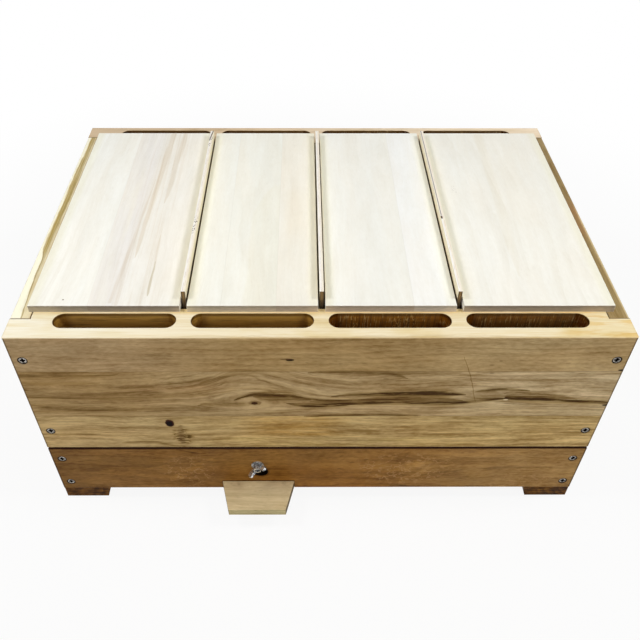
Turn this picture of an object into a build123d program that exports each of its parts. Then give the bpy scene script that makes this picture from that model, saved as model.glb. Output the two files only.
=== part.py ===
from build123d import *
import math
import os


# Driving dimensions, in millimetres. The origin is on the ground under the middle of the box,
# +X is to the box's right as seen from its front, +Y to its back and +Z up.

# Box
box_width = 600.0
box_depth = 400.0
body_height = 172.0
base_height = 80.0
edge_round = 1.5

# Body planks and side walls
side_thickness = 20.0
rabbet_lip = 26.5
shoulder_gap = 0.8
rebate_width = 10.0
rebate_depth = 18.0

# Feeder pockets, one for each compartment in each plank, and the bee-ways into them
pocket_pitch = 133.0
pocket_shift = 1.0
pocket_web = 14.5
pocket_width = 20.0
pocket_depth = 80.0
pocket_round = 0.8
front_pocket_lip = 14.0
rear_pocket_lip = 7.5
pocket_inner_wall = 6.0
bee_way_radius = 5.0
bee_way_under_shelf = 5.0

# Compartments and the dividers between them
compartment_count = 4
outer_compartment_extra = 10.4
compartment_shift = 1.6
divider_thickness = 4.0
divider_above_covers = 10.0
divider_under_gap = 0.5
groove_step = 1.0
groove_stop = 8.0
groove_side_gap = 0.3
divider_front_gap = 4.5
divider_rear_gap = 0.5

# Covers
cover_thickness = 8.0
cover_front_margin = 36.0
cover_rear_margin = 29.0
cover_divider_gap = 1.5
cover_side_overlap = 5.5
cover_round = 0.8

# Base tray and runners
base_wall = 20.0
base_top_round = 4.0
floor_thickness = 10.0
partition_thickness = 8.0
foot_height = 20.0
foot_width = 55.0
foot_inset = 2.0
foot_taper = 6.0
foot_round = 0.8

# Entrances and landing boards
entrance_radius = 8.5
entrance_height = 33.0
entrance_shift = 0.3
landing_root_width = 84.0
landing_tip_width = 65.0
landing_reach = 38.0
landing_thickness = 11.0
landing_rise = 13.7
landing_shift = 3.2
landing_round = 1.0

# Entrance gates, their bolts, washers and wing nuts
bolt_above_entrance = 5.0
bolt_shift = 3.0
bolt_radius = 2.5
bolt_gap = 0.3
neck_extra = 0.2
neck_gap = 0.05
head_radius = 6.5
head_height = 3.0
head_round = 2.0
thread_short = 1.5
washer_radius = 7.0
washer_thickness = 1.2
gate_thickness = 4.0
gate_margin = 2.5
gate_open_gap = 0.3
gate_open_angle = 110.0
nut_base_radius = 5.0
nut_top_radius = 4.2
nut_height = 6.5
wing_reach = 9.8
wing_rise = 8.0
wing_tip_radius = 3.0
wing_root_radius = 2.2
wing_root_rise = 2.8
wing_thickness = 2.8
wing_angle = 42.0

# Wood screws
screw_radius = 2.0
screw_head_radius = 4.0
screw_head_depth = 2.6
screw_sink = 0.4
screw_ring = 0.6
screw_gap = 0.05
screw_point = 5.0
recess_span = 5.0
recess_width = 1.4
recess_depth = 1.8
corner_screw_length = 50.0
corner_screw_shift = 1.5
plank_screw_drop = 31.0
plank_screw_rise = 30.0
base_screw_drop = 21.4
base_screw_rise = 13.6
runner_screw_count = 3
runner_screw_span = 300.0
runner_screw_short = 2.0

# Frames that hang in the compartments
frame_count = 4
frame_side_gap = 1.0
end_bar_spacing = 6.0
top_bar_spacing = 10.0
top_bar_thickness = 10.0
lug_gap = 2.0
end_bar_thickness = 8.0
end_bar_plank_gap = 7.0
bottom_bar_width = 16.0
bottom_bar_thickness = 8.0
frame_floor_gap = 12.0
wax_thickness = 3.0


# Places worked out from the driving dimensions
half_width = box_width / 2
half_depth = box_depth / 2
inner_half_width = half_width - side_thickness
compartment_pitch = 2 * (inner_half_width - outer_compartment_extra) / compartment_count
pocket_length = pocket_pitch - pocket_web
plank_thickness = front_pocket_lip + pocket_width + pocket_inner_wall + rebate_width
groove_depth = rebate_width - groove_step
inner_half_length = half_depth - plank_thickness
base_bottom = foot_height
base_top = base_bottom + base_height
body_top = base_top + body_height
shelf = body_top - rebate_depth
cover_top = body_top + cover_thickness
floor_top = base_bottom + floor_thickness
landing_top = base_bottom + landing_rise
entrance_z = base_bottom + entrance_height
bolt_rise = entrance_radius + bolt_above_entrance
bolt_z = entrance_z + bolt_rise
bolt_hole_radius = bolt_radius + bolt_gap
gate_reach = math.hypot(bolt_rise, bolt_shift)
gate_pivot_radius = gate_reach - entrance_radius - gate_open_gap
runner_screw_length = foot_height + floor_thickness - runner_screw_short
frame_pitch = (compartment_pitch - divider_thickness - 2 * frame_side_gap) / frame_count
frame_bottom = base_top + frame_floor_gap
end_bar_outer = inner_half_length - end_bar_plank_gap
end_bar_inner = end_bar_outer - end_bar_thickness
bottom_bar_top = frame_bottom + bottom_bar_thickness

divider_count = compartment_count - 1
divider_xs = [
    (i - (divider_count - 1) / 2) * compartment_pitch + compartment_shift for i in range(divider_count)
]
pocket_xs = [
    (i - (compartment_count - 1) / 2) * pocket_pitch + pocket_shift for i in range(compartment_count)
]
divider_names = ["left", "centre", "right"]

# The four walls of the base, a quarter turn apart. Each has the place of its entrance along the wall,
# the distance of its outer face from the middle of the box, and half of its length.
entrances = {
    "front": (-compartment_pitch / 2 + compartment_shift, half_depth, half_width),
    "right": (0, half_width, half_depth - base_wall),
    "rear": (-compartment_pitch / 2 - compartment_shift, half_depth, half_width),
    "left": (0, half_width, half_depth - base_wall),
}


def block(x0, x1, y0, y1, z0, z1):
    """A board between two corners."""
    middle = Pos((x0 + x1) / 2, (y0 + y1) / 2, (z0 + z1) / 2)
    return middle * Box(x1 - x0, y1 - y0, z1 - z0)


def upright(sketch, y0, y1):
    """A sketch drawn in x and z, given thickness from y0 to y1."""
    return Pos(0, y1, 0) * Rot(90, 0, 0) * extrude(sketch, amount=y1 - y0)


def rod(x, z, radius, y0, y1):
    """A round bar or hole along Y."""
    return upright(Pos(x, z) * Circle(radius), y0, y1)


def group(pieces):
    """Separate pieces of one kind, kept as separate solids."""
    return Compound(children=list(pieces))


def to_side(side):
    """The turn that takes a piece made at the front to its own side of the base."""
    return Rot(0, 0, 90 * list(entrances).index(side))


def compartment_bounds(i):
    """Left and right faces of the room in a compartment, between walls and dividers."""
    left = -inner_half_width if i == 0 else divider_xs[i - 1] + divider_thickness / 2
    right = inner_half_width if i == compartment_count - 1 else divider_xs[i] - divider_thickness / 2
    return left, right


# Wood screws

def make_screw(length):
    """A countersunk cross-head screw along +Z, its head's flat top at the origin."""
    shank_length = length - screw_point
    profile = Polyline(
        (0, 0),
        (screw_head_radius, 0),
        (screw_radius, screw_head_depth),
        (screw_radius, shank_length),
        (0, length),
        close=True,
    )
    screw = revolve(Plane.XZ * make_face(profile), Axis.Z)
    for turn in (0, 90):
        slot = block(-recess_span / 2, recess_span / 2, -recess_width / 2, recess_width / 2, 0, recess_depth)
        screw -= Rot(0, 0, turn) * slot
    return screw


def make_screw_hole(length):
    """The countersunk hole that the screw fits, open above the head."""
    mouth = screw_head_radius + screw_ring
    shank = screw_radius + screw_gap
    depth = screw_head_depth + screw_ring
    profile = Polyline(
        (0, -screw_sink),
        (mouth, -screw_sink),
        (mouth, 0),
        (shank, depth),
        (shank, length),
        (0, length),
        close=True,
    )
    return revolve(Plane.XZ * make_face(profile), Axis.Z)


def corner_places(wall_thickness, heights):
    """Places of a front board's corner screws, which go into side walls of this thickness."""
    into_wall = Rot(-90, 0, 0)
    x = half_width - wall_thickness / 2 - corner_screw_shift
    y = -half_depth + screw_sink
    return [Pos(side * x, y, z) * into_wall for side in (-1, 1) for z in heights]


plank_screw_places = corner_places(side_thickness, (body_top - plank_screw_drop, base_top + plank_screw_rise))
base_screw_places = corner_places(base_wall, (base_top - base_screw_drop, base_bottom + base_screw_rise))


def corner_screws(places, turn):
    return group(Rot(0, 0, turn) * place * make_screw(corner_screw_length) for place in places)


def corner_screw_holes(places, turn):
    return [Rot(0, 0, turn) * place * make_screw_hole(corner_screw_length) for place in places]


# Body

def make_plank(pocket_lip, turn):
    """A feeder plank, made at the front and then turned to its own side."""
    outer = -half_depth
    inner = outer + plank_thickness
    way = math.cos(math.radians(turn))
    plank = block(-half_width, half_width, outer, inner, base_top, body_top)
    plank = fillet(plank.faces().sort_by(Axis.Y)[0].edges(), edge_round)
    for x in pocket_xs:
        mouth = Pos(way * x, outer + pocket_lip + pocket_width / 2, body_top) * SlotOverall(pocket_length, pocket_width)
        plank -= extrude(mouth, amount=-pocket_depth)
    pocket_floor = body_top - pocket_depth
    mouth_edges = [
        edge
        for edge in plank.faces().filter_by(Axis.Z).sort_by(Axis.Z)[-1].inner_wires().edges()
        if edge.center().Z > pocket_floor
    ]
    plank = fillet(mouth_edges, pocket_round)
    plank -= block(-half_width, half_width, inner - rebate_width, inner, shelf, body_top)
    for side in (-1, 1):
        end = half_width - side_thickness
        low, high = sorted((side * end, side * half_width))
        plank -= block(low, high, outer + rabbet_lip, inner, base_top, body_top)
    bee_way_z = shelf - bee_way_under_shelf - bee_way_radius
    for x in pocket_xs:
        plank -= rod(way * x, bee_way_z, bee_way_radius, outer + pocket_lip + pocket_width / 2, inner)
    groove_half = divider_thickness / 2 + groove_side_gap
    groove_foot = base_top + groove_stop
    for x in divider_xs:
        middle = way * x
        plank -= block(middle - groove_half, middle + groove_half, inner - groove_depth, inner, groove_foot, shelf)
    plank = Rot(0, 0, turn) * plank
    for hole in corner_screw_holes(plank_screw_places, turn):
        plank -= hole
    return plank


def make_side_wall(side):
    """A body side wall, housed in the rabbets of both planks."""
    half_length = half_depth - rabbet_lip
    inner = inner_half_width + shoulder_gap
    wall = block(inner, half_width, -half_length, half_length, base_top, body_top)
    wall = fillet(wall.faces().sort_by(Axis.X)[-1].edges(), edge_round)
    if side == "left":
        wall = Rot(0, 0, 180) * wall
    for turn in (0, 180):
        for hole in corner_screw_holes(plank_screw_places, turn):
            wall -= hole
    return wall


def make_divider(x):
    """A plywood sheet that slides down the grooves onto their stopped ends."""
    left = x - divider_thickness / 2
    right = x + divider_thickness / 2
    groove_floor = inner_half_length + groove_depth
    front = -groove_floor + divider_front_gap
    rear = groove_floor - divider_rear_gap
    top = cover_top + divider_above_covers
    sheet = block(left, right, front, rear, base_top + groove_stop, top)
    low_half = inner_half_length - groove_side_gap
    sheet += block(left, right, -low_half, low_half, base_top + divider_under_gap, base_top + groove_stop)
    return sheet


def make_cover(i):
    """A loose cover board over one compartment, resting on the planks and side walls."""
    left, right = compartment_bounds(i)
    left += compartment_shift - cover_side_overlap if i == 0 else cover_divider_gap
    right += compartment_shift + cover_side_overlap if i == compartment_count - 1 else -cover_divider_gap
    front = -half_depth + cover_front_margin
    rear = half_depth - cover_rear_margin
    cover = block(left, right, front, rear, body_top, cover_top)
    return fillet(cover.faces().sort_by(Axis.Z)[-1].edges(), cover_round)


# Frames

def frame_xs(i):
    """Places of the frames across a compartment."""
    left, right = compartment_bounds(i)
    return [(left + right) / 2 + (n - (frame_count - 1) / 2) * frame_pitch for n in range(frame_count)]


def make_top_bars(i):
    half = (frame_pitch - top_bar_spacing) / 2
    reach = inner_half_length + rebate_width - lug_gap
    return group(block(x - half, x + half, -reach, reach, shelf, shelf + top_bar_thickness) for x in frame_xs(i))


def make_end_bars(i):
    half = (frame_pitch - end_bar_spacing) / 2
    bars = []
    for x in frame_xs(i):
        for y0, y1 in ((-end_bar_outer, -end_bar_inner), (end_bar_inner, end_bar_outer)):
            bars.append(block(x - half, x + half, y0, y1, frame_bottom, shelf))
    return group(bars)


def make_bottom_bars(i):
    half = bottom_bar_width / 2
    return group(
        block(x - half, x + half, -end_bar_inner, end_bar_inner, frame_bottom, bottom_bar_top)
        for x in frame_xs(i)
    )


def make_wax_sheets(i):
    half = wax_thickness / 2
    return group(
        block(x - half, x + half, -end_bar_inner, end_bar_inner, bottom_bar_top, shelf) for x in frame_xs(i)
    )


# Base tray

def landing_outline(place, face):
    """Plan of a landing board: a straight root in the wall, then a taper to the tip."""
    middle = place - landing_shift
    root = landing_root_width / 2
    tip = landing_tip_width / 2
    return Polyline(
        (middle - root, -face + base_wall),
        (middle + root, -face + base_wall),
        (middle + root, -face),
        (middle + tip, -face - landing_reach),
        (middle - tip, -face - landing_reach),
        (middle - root, -face),
        close=True,
    )


def make_base_wall(side):
    """A wall of the base tray, with its entrance, its bolt hole and the notch of its landing board."""
    place, face, half_length = entrances[side]
    wall = block(-half_length, half_length, -face, -face + base_wall, base_bottom, base_top)
    top_edges = wall.faces().sort_by(Axis.Z)[-1].edges().sort_by(Axis.Y)[:-1]
    if side in ("right", "left"):
        top_edges = top_edges[:1]
    wall = fillet(top_edges, base_top_round)
    outer_edges = wall.edges().filter_by(Axis.Z).group_by(Axis.Y)[0]
    outer_edges += wall.edges().filter_by(Axis.X).group_by(Axis.Z)[0].sort_by(Axis.Y)[:1]
    wall = fillet(outer_edges, edge_round)
    middle = place - landing_shift
    root = landing_root_width / 2
    wall -= block(middle - root, middle + root, -face, -face + base_wall, base_bottom, landing_top)
    hole_x = place + entrance_shift
    wall -= rod(hole_x, entrance_z, entrance_radius, -face, -face + base_wall)
    wall -= rod(hole_x - bolt_shift, bolt_z, bolt_hole_radius, -face, -face + base_wall)
    wall = to_side(side) * wall
    for screw_turn in (0, 180):
        for hole in corner_screw_holes(base_screw_places, screw_turn):
            wall -= hole
    return wall


def make_landing_board(side):
    place, face, _ = entrances[side]
    plan = make_face(landing_outline(place, face))
    board = Pos(0, 0, landing_top - landing_thickness) * extrude(plan, amount=landing_thickness)
    tip_edges = board.faces().sort_by(Axis.Y)[0].edges()
    return to_side(side) * fillet(tip_edges, landing_round)


def runner_screw_places():
    x = ((half_width - base_wall) + (half_width - foot_width)) / 2
    step = runner_screw_span / (runner_screw_count - 1)
    ys = [n * step - runner_screw_span / 2 for n in range(runner_screw_count)]
    return [Pos(side * x, y, screw_sink) for side in (-1, 1) for y in ys]


def make_floor():
    reach_x = half_width - base_wall
    reach_y = half_depth - base_wall
    floor = block(-reach_x, reach_x, -reach_y, reach_y, base_bottom, floor_top)
    for place in runner_screw_places():
        floor -= place * make_screw_hole(runner_screw_length)
    return floor


def make_partition(x):
    reach = half_depth - base_wall
    half = partition_thickness / 2
    return block(x - half, x + half, -reach, reach, floor_top, base_top)


def make_runner(side):
    """A runner under the base, its inner side sloping in a little towards the ground."""
    inner = half_width - foot_width
    section = Polyline(
        (half_width, 0),
        (half_width, foot_height),
        (inner, foot_height),
        (inner + foot_taper, 0),
        close=True,
    )
    reach = half_depth - foot_inset
    runner = upright(make_face(section), -reach, reach)
    runner = fillet(runner.faces().sort_by(Axis.Z)[0].edges(), foot_round)
    if side == "left":
        runner = Rot(0, 0, 180) * runner
    for place in runner_screw_places():
        runner -= place * make_screw_hole(runner_screw_length)
    return runner


# Entrance gates

def make_gate(side):
    """The inside tongue, shown swung open. It hangs on the bolt and can cover the entrance."""
    place, face, _ = entrances[side]
    pivot = Pos(place + entrance_shift - bolt_shift, bolt_z)
    closed = Pos(bolt_shift, -bolt_rise)
    disc = closed * Circle(entrance_radius + gate_margin)
    tongue = make_hull((disc + Circle(gate_pivot_radius)).edges())
    neck_side = 2 * (bolt_radius + neck_extra + neck_gap)
    tongue -= Rectangle(neck_side, neck_side)
    tongue = pivot * Rot(0, 0, -gate_open_angle) * tongue
    inner = -face + base_wall
    return to_side(side) * upright(tongue, inner, inner + gate_thickness)


def make_bolt(side):
    """A carriage bolt: round head inside, square neck in the gate, thread out through the wall."""
    place, face, _ = entrances[side]
    pivot = Pos(place + entrance_shift - bolt_shift, bolt_z)
    inner = -face + base_wall
    head_base = inner + gate_thickness
    end = -face - washer_thickness - nut_height + thread_short
    head = upright(pivot * Circle(head_radius), head_base, head_base + head_height)
    head = fillet(head.faces().sort_by(Axis.Y)[-1].edges(), head_round)
    neck_side = 2 * (bolt_radius + neck_extra)
    neck = upright(pivot * Rot(0, 0, -gate_open_angle) * Rectangle(neck_side, neck_side), inner, head_base)
    shank = upright(pivot * Circle(bolt_radius), end, inner)
    return to_side(side) * (head + neck + shank)


def make_washer(side):
    place, face, _ = entrances[side]
    ring = Circle(washer_radius) - Circle(bolt_hole_radius)
    ring = Pos(place + entrance_shift - bolt_shift, bolt_z) * ring
    return to_side(side) * upright(ring, -face - washer_thickness, -face)


def make_wing_nut(side):
    """A wing nut: a tapered hub and two wings that rise outwards to round tips."""
    place, face, _ = entrances[side]
    hub = Pos(0, 0, nut_height / 2) * Cone(nut_base_radius, nut_top_radius, nut_height)
    tip = Pos(wing_reach, wing_rise) * Circle(wing_tip_radius)
    root = Pos(nut_top_radius - wing_root_radius / 2, wing_root_rise) * Circle(wing_root_radius)
    outline = make_hull((tip + root).edges())
    wing = Pos(0, wing_thickness / 2, 0) * Rot(90, 0, 0) * extrude(outline, amount=wing_thickness)
    nut = hub + wing + Rot(0, 0, 180) * wing
    nut -= Pos(0, 0, wing_rise / 2) * Cylinder(bolt_hole_radius, 2 * wing_rise)
    seat = Pos(place + entrance_shift - bolt_shift, -face - washer_thickness, bolt_z)
    return to_side(side) * seat * Rot(90, 0, 0) * Rot(0, 0, wing_angle) * nut


def make_parts():
    parts = {
        "front_plank": make_plank(front_pocket_lip, 0),
        "rear_plank": make_plank(rear_pocket_lip, 180),
        "left_wall": make_side_wall("left"),
        "right_wall": make_side_wall("right"),
        "front_plank_screws": corner_screws(plank_screw_places, 0),
        "rear_plank_screws": corner_screws(plank_screw_places, 180),
        "floor_board": make_floor(),
        "left_runner": make_runner("left"),
        "right_runner": make_runner("right"),
        "runner_screws": group(place * make_screw(runner_screw_length) for place in runner_screw_places()),
        "base_front_screws": corner_screws(base_screw_places, 0),
        "base_rear_screws": corner_screws(base_screw_places, 180),
        "bolt_washers": group(make_washer(side) for side in entrances),
    }
    for name, x in zip(divider_names, divider_xs):
        parts[f"{name}_divider"] = make_divider(x)
        parts[f"{name}_partition"] = make_partition(x)
    for i in range(compartment_count):
        parts[f"cover_{i + 1}"] = make_cover(i)
        parts[f"frame_top_bars_{i + 1}"] = make_top_bars(i)
        parts[f"frame_end_bars_{i + 1}"] = make_end_bars(i)
        parts[f"frame_bottom_bars_{i + 1}"] = make_bottom_bars(i)
        parts[f"wax_sheets_{i + 1}"] = make_wax_sheets(i)
    for side in entrances:
        parts[f"base_{side}_wall"] = make_base_wall(side)
        parts[f"{side}_landing_board"] = make_landing_board(side)
        parts[f"{side}_gate"] = make_gate(side)
        parts[f"{side}_bolt"] = make_bolt(side)
        parts[f"{side}_wing_nut"] = make_wing_nut(side)
    return parts


os.makedirs("parts", exist_ok=True)
for name, part in make_parts().items():
    export_step(part, f"parts/{name}.step")
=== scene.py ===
import math
from functools import partial, reduce

import bpy
from mathutils import Matrix, Vector


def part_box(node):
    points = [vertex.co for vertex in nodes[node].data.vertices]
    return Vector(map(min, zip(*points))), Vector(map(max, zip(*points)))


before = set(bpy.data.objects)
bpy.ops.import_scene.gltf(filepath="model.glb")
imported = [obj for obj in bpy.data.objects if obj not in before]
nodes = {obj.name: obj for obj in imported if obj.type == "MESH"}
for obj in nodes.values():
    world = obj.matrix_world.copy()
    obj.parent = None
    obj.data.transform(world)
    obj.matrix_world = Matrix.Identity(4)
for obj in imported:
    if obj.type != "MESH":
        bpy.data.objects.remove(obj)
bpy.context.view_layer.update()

MM = 0.001
SIDES = ("front", "right", "rear", "left")
GRAINS = {"front": "X", "right": "Y", "rear": "X", "left": "Y"}

# Half the box's size, and its corner screws, in mm
HALF_WIDE = 300
HALF_DEEP = 200
SCREW_X = 288.5
PLANK_SCREW_HEIGHTS = (241, 130)
BASE_SCREW_HEIGHTS = (78.6, 33.6)

# How shiny bare wood is, how uneven all wood's polish is, and how deep its grain, in mm
BARE_SHINE = 0.12
ROUGH_SPREAD = 0.12
GRAIN_DEPTH = 0.35
MIDDLE_NOISE = (0.5, 0.5, 0.5)


def srgb(red, green, blue):
    """A colour as a picture shows it, 0 to 255, made linear for a shader."""
    def linear(value):
        value /= 255
        return value / 12.92 if value <= 0.04045 else ((value + 0.055) / 1.055) ** 2.4
    return (linear(red), linear(green), linear(blue))


def scaled(colour, *factors):
    """A linear colour with each channel multiplied."""
    return tuple(value * factor for value, factor in zip(colour, factors))


# Shader nodes, each added to the tree that its given sockets are in

def new_node(tree, kind, **settings):
    node = tree.nodes.new("ShaderNode" + kind)
    for name, value in settings.items():
        setattr(node, name, value)
    return node


def put(socket, value):
    """Links a result to an input, or sets the input's own value. A colour gets its alpha here."""
    if isinstance(value, bpy.types.NodeSocket):
        socket.id_data.links.new(value, socket)
    elif socket.type == "RGBA":
        socket.default_value = (*value, 1)
    else:
        socket.default_value = value


def fill(node, values):
    """Sets a node's inputs by name."""
    for name, value in values.items():
        put(node.inputs[name], value)


def tree_of(*values):
    return next(value.id_data for value in values if isinstance(value, bpy.types.NodeSocket))


def run(kind, *values, **settings):
    """Adds a node with its inputs set in order, and gives its first result."""
    node = new_node(tree_of(*values), kind, **settings)
    for socket, value in zip(node.inputs, values):
        put(socket, value)
    return node.outputs[0]


def calc(operation, *values, clamp=False):
    return run("Math", *values, operation=operation, use_clamp=clamp)


add = partial(calc, "ADD")
sub = partial(calc, "SUBTRACT")
div = partial(calc, "DIVIDE")
most = partial(calc, "MAXIMUM")
least = partial(calc, "MINIMUM")
over = partial(calc, "GREATER_THAN")
under = partial(calc, "LESS_THAN")
wrap = partial(calc, "FLOORED_MODULO")
size = partial(calc, "ABSOLUTE")
combine = partial(run, "CombineXYZ")


def mul(*values):
    return reduce(partial(calc, "MULTIPLY"), values)


def distance(a, b):
    return calc("SQRT", add(mul(a, a), mul(b, b)))


def vector(operation, *values):
    return run("VectorMath", *values, operation=operation)


def separate(place):
    return tuple(run("SeparateXYZ", place).node.outputs)


def ease(value, low, high, start=0, end=1):
    """Goes smoothly from start to end while value goes from low to high, up or down."""
    return run("MapRange", value, low, high, start, end, interpolation_type="SMOOTHSTEP")


def between(value, low, high, soft):
    """1 from low to high, with soft ends."""
    return mul(ease(value, low - soft, low + soft), ease(value, high + soft, high - soft))


def noise(place, grain, detail=2, roughness=0.5, output="Fac"):
    """Noise round 0.5 with features of about the given size, alike or given for X, Y and Z."""
    sizes = grain if isinstance(grain, tuple) else (grain, grain, grain)
    node = new_node(place.id_data, "TexNoise")
    fill(node, {"Vector": vector("DIVIDE", place, sizes), "Scale": 1, "Detail": detail,
                "Roughness": roughness})
    return node.outputs[output]


def wobble(place, grain, reach, detail=2, roughness=0.5):
    """Noise round 0, over the given reach."""
    return mul(sub(noise(place, grain, detail, roughness), 0.5), reach)


def mix(factor, a, b, blend="MIX"):
    node = new_node(tree_of(factor, a, b), "Mix", data_type="RGBA", blend_type=blend)
    for number, value in ((0, factor), (6, a), (7, b)):
        put(node.inputs[number], value)
    return node.outputs[2]


def curve(value, points):
    """A smooth curve through points of value and result, level beyond the first and the last."""
    start, end = points[0][0], points[-1][0]
    low = min(y for _, y in points)
    span = max(y for _, y in points) - low or 1
    along = calc("DIVIDE", sub(value, start), end - start, clamp=True)
    node = new_node(value.id_data, "FloatCurve")
    put(node.inputs["Value"], along)
    line = node.mapping.curves[0]
    while len(line.points) < len(points):
        line.points.new(0.5, 0.5)
    for point, (x, y) in zip(line.points, points):
        point.location = ((x - start) / (end - start), (y - low) / span)
        point.handle_type = "AUTO_CLAMPED"
    node.mapping.update()
    return calc("MULTIPLY_ADD", node.outputs[0], span, low)


def steps(value, edges):
    """Counts how many of the edges the value is past."""
    count = 0
    for edge in edges:
        count = add(count, over(value, edge))
    return count


def pick(index, values):
    """Picks a number by a whole number from 0."""
    result = values[0]
    for number in range(1, len(values)):
        past = over(index, number - 0.5)
        result = add(result, mul(past, values[number] - values[number - 1]))
    return result


def choose(index, colours):
    """Picks a colour by a whole number from 0."""
    result = colours[0]
    for number, colour in enumerate(colours[1:], start=1):
        result = mix(over(index, number - 0.5), result, colour)
    return result


def position(tree):
    """Place in the part's frame at rest, in mm."""
    return vector("MULTIPLY", new_node(tree, "TexCoord").outputs["Object"], (1000, 1000, 1000))


def bump(height, strength, depth):
    """A surface direction for relief of the given depth, in mm."""
    node = new_node(height.id_data, "Bump")
    fill(node, {"Strength": strength, "Distance": depth * MM, "Height": height})
    return node.outputs["Normal"]


def new_material(name):
    """A material, its shader and the tree that they are in."""
    material = bpy.data.materials.new(name)
    material.use_nodes = True
    return material, material.node_tree.nodes["Principled BSDF"], material.node_tree


def new_group(name, inputs, outputs):
    """A node group with the given sockets, named by kind."""
    group = bpy.data.node_groups.new(name, "ShaderNodeTree")
    for way, sockets in (("INPUT", inputs), ("OUTPUT", outputs)):
        for kind, labels in sockets.items():
            for label in labels.split():
                group.interface.new_socket(label, in_out=way, socket_type="NodeSocket" + kind)
    given = group.nodes.new("NodeGroupInput").outputs
    result = group.nodes.new("NodeGroupOutput").inputs
    return group, given, result


def make_wood_group():
    """Solid wood with its grain along X: growth rings, wavy bands and lines, fibres, flecks, clouds."""
    group, given, result = new_group(
        "Solid wood",
        {
            "Vector": "Position Seed Pith",
            "Color": "Pale Dark",
            "Float": "Ring Wander Rings Streaks Mottle Flecks Hues",
        },
        {"Color": "Colour", "Float": "Height"},
    )
    straight = vector("ADD", given["Position"], given["Seed"])
    sway = vector("SUBTRACT", noise(straight, (190, 46, 46), output="Color"), MIDDLE_NOISE)
    place = vector("MULTIPLY_ADD", sway, (0, 26, 26), straight)

    def stretched(along, over, detail, roughness=0.55):
        return noise(place, (along, over, over), detail, roughness)

    _, across, up = separate(vector("SUBTRACT", given["Position"], given["Pith"]))
    far = vector("ADD", place, (7300, 3100, 5700))
    wander_y = mul(sub(stretched(420, 140, 2), 0.5), given["Wander"])
    wander_z = wobble(far, (420, 140, 140), given["Wander"])
    radius = distance(add(across, wander_y), add(up, wander_z))
    ripple = mul(sub(stretched(170, 16, 3), 0.5), 1.6)
    phase = calc("FRACT", add(div(radius, given["Ring"]), ripple))
    late = mul(ease(phase, 0.2, 0.88), ease(phase, 1, 0.88))
    ring_fade = ease(stretched(260, 40, 2), 0.35, 0.65)

    bands = sub(stretched(420, 20, 4), 0.5)
    lines = sub(stretched(105, 4.2, 3, 0.6), 0.5)
    fibre = stretched(34, 1.4, 3, 0.6)
    fleck = ease(stretched(11, 1.7, 1), 0.64, 0.74)
    long_grain = add(add(mul(bands, 1.3), mul(lines, 1.1)), mul(sub(fibre, 0.5), 0.55))
    cloud = sub(stretched(46, 17, 3), 0.5)
    grit = sub(stretched(7, 2.2, 2), 0.5)
    patches = add(mul(cloud, 0.7), mul(grit, 0.6))
    tone = add(0.5, add(mul(given["Streaks"], long_grain), mul(given["Mottle"], patches)))
    tone = sub(tone, mul(sub(late, 0.35), ring_fade, given["Rings"]))
    colour = mix(tone, given["Dark"], given["Pale"])
    fleck_colour = mix(1, given["Dark"], (0.6, 0.55, 0.5), "MULTIPLY")
    colour = mix(mul(fleck, given["Flecks"]), colour, fleck_colour)
    warm = ease(stretched(150, 34, 3), 0.3, 0.7)
    hue = mix(warm, (0.985, 1.005, 1.03), (1.02, 0.99, 0.95))
    put(result["Colour"], mix(given["Hues"], colour, hue, "MULTIPLY"))
    put(result["Height"], sub(add(mul(fibre, 0.6), mul(lines, 0.5)), mul(fleck, 0.4)))
    return group


def make_edge_group():
    """How far a point on a box's surface is from the box's nearest edge."""
    group, given, result = new_group(
        "Edge distance", {"Vector": "Position Low High"}, {"Float": "Distance"},
    )
    from_low = vector("SUBTRACT", given["Position"], given["Low"])
    to_high = vector("SUBTRACT", given["High"], given["Position"])
    a, b, c = separate(vector("MINIMUM", from_low, to_high))
    put(result["Distance"], most(least(a, b), least(most(a, b), c)))
    return group


WOOD_GROUP = make_wood_group()
EDGE_GROUP = make_edge_group()

# The order in which X, Y and Z go into the wood, for grain along each of them
AXES = {"X": (0, 1, 2), "Y": (1, 0, 2), "Z": (2, 0, 1)}


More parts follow.
